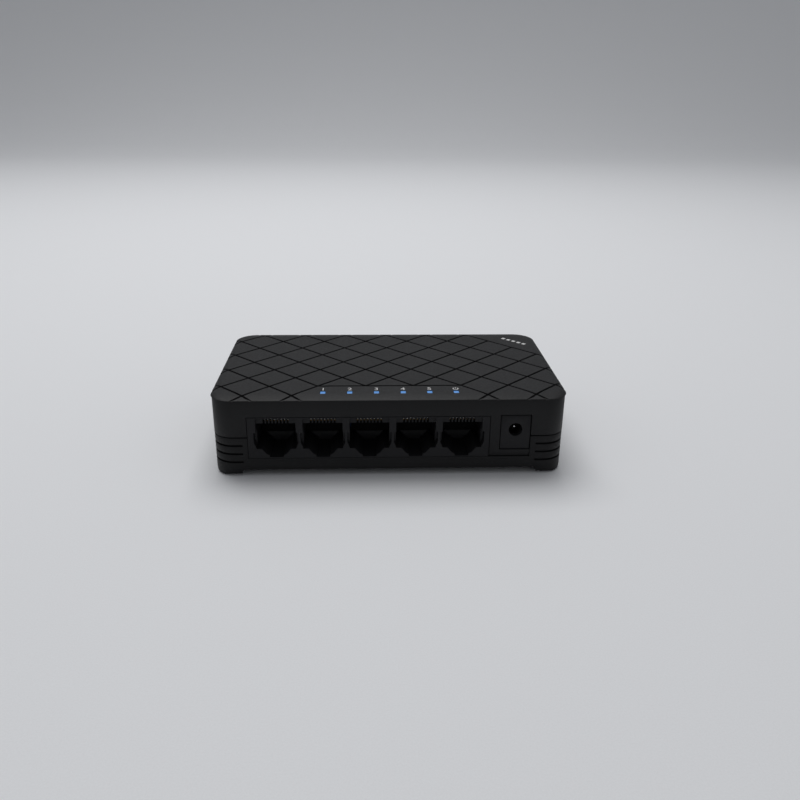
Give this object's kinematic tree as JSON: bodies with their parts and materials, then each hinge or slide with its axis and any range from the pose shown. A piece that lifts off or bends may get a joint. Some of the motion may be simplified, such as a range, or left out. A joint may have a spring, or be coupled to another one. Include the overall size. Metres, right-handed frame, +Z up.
{
  "type": "desktop network switch",
  "caption": "Small flat black desktop network switch: diamond-grooved top panel, row of modular network ports and a round power socket in the front wall, corner vent grooves and feet.",
  "frame": {"origin": "centre of the bounding box's bottom face, on the surface that it stands on", "axes": "+X to the right seen from the ports, +Y from the ports to the back, +Z up"},
  "size_m": [0.1072, 0.064, 0.0254],
  "materials": {
    "cover_plastic": "fine moulded texture, black",
    "base_plastic": "fine moulded texture, black",
    "socket_plastic": "smooth moulded, black",
    "power_socket_plastic": "smooth moulded, black",
    "insert_plastic": "smooth moulded, black",
    "foot_rubber": "soft, dull",
    "screw_steel": "zinc plated",
    "board_laminate": "solder mask",
    "contact_gold": "gold flash",
    "pin_nickel": "bright nickel",
    "spring_bronze": "tinned",
    "tinned_lead": "tinned",
    "clear_acrylic": "clear, moulded",
    "led_body": "resin",
    "chip_epoxy": "moulded",
    "can_steel": "drawn",
    "can_aluminium": "drawn",
    "ferrite": "sintered",
    "ceramic": "fired",
    "blue_epoxy": "dipped",
    "label_film": "printed film, blank"
  },
  "bodies": {
    "case": {"top_cover": "cover_plastic", "base": "base_plastic", "rubber_feet": "foot_rubber", "case_screws": "screw_steel", "board_screws": "screw_steel", "circuit_board": "board_laminate", "port_block": "socket_plastic", "contact_inserts": "insert_plastic", "contact_leads": "contact_gold", "power_socket": "power_socket_plastic", "power_pin": "pin_nickel", "power_terminals": "tinned_lead", "light_guide": "clear_acrylic", "status_leds": "led_body", "switch_chip": "chip_epoxy", "switch_chip_leads": "tinned_lead", "port_transformers": "chip_epoxy", "transformer_leads": "tinned_lead", "memory_chip": "chip_epoxy", "regulator_chip": "chip_epoxy", "small_chip_leads": "tinned_lead", "clock_crystal": "can_steel", "power_inductor": "ferrite", "reservoir_capacitor": "can_aluminium", "output_capacitor": "can_aluminium", "protection_diode": "chip_epoxy", "fuse": "ceramic", "surge_capacitor": "blue_epoxy", "chip_capacitors": "ceramic", "chip_resistors": "chip_epoxy", "underside_label": "label_film"},
    "port_1_springs": {"port_1_contacts": "contact_gold"},
    "port_2_springs": {"port_2_contacts": "contact_gold"},
    "port_3_springs": {"port_3_contacts": "contact_gold"},
    "port_4_springs": {"port_4_contacts": "contact_gold"},
    "port_5_springs": {"port_5_contacts": "contact_gold"},
    "power_leaf": {"power_spring": "spring_bronze"}
  },
  "joints": [
    {"name": "port_1_spring", "type": "hinge", "parent": "case", "child": "port_1_springs", "pos_m": [-0.03415, -0.02835, 0.017], "axis": [1, 0, 0], "range_deg": [0, 10], "stiffness_Nm_per_rad": 0.02},
    {"name": "port_2_spring", "type": "hinge", "parent": "case", "child": "port_2_springs", "pos_m": [-0.02018, -0.02835, 0.017], "axis": [1, 0, 0], "range_deg": [0, 10], "stiffness_Nm_per_rad": 0.02},
    {"name": "port_3_spring", "type": "hinge", "parent": "case", "child": "port_3_springs", "pos_m": [-0.00621, -0.02835, 0.017], "axis": [1, 0, 0], "range_deg": [0, 10], "stiffness_Nm_per_rad": 0.02},
    {"name": "port_4_spring", "type": "hinge", "parent": "case", "child": "port_4_springs", "pos_m": [0.00776, -0.02835, 0.017], "axis": [1, 0, 0], "range_deg": [0, 10], "stiffness_Nm_per_rad": 0.02},
    {"name": "port_5_spring", "type": "hinge", "parent": "case", "child": "port_5_springs", "pos_m": [0.02173, -0.02835, 0.017], "axis": [1, 0, 0], "range_deg": [0, 10], "stiffness_Nm_per_rad": 0.02},
    {"name": "power_spring_hinge", "type": "hinge", "parent": "case", "child": "power_leaf", "pos_m": [0.03785, -0.01905, 0.0119], "axis": [1, 0, 0], "range_deg": [0, 3], "stiffness_Nm_per_rad": 0.01}
  ]
}
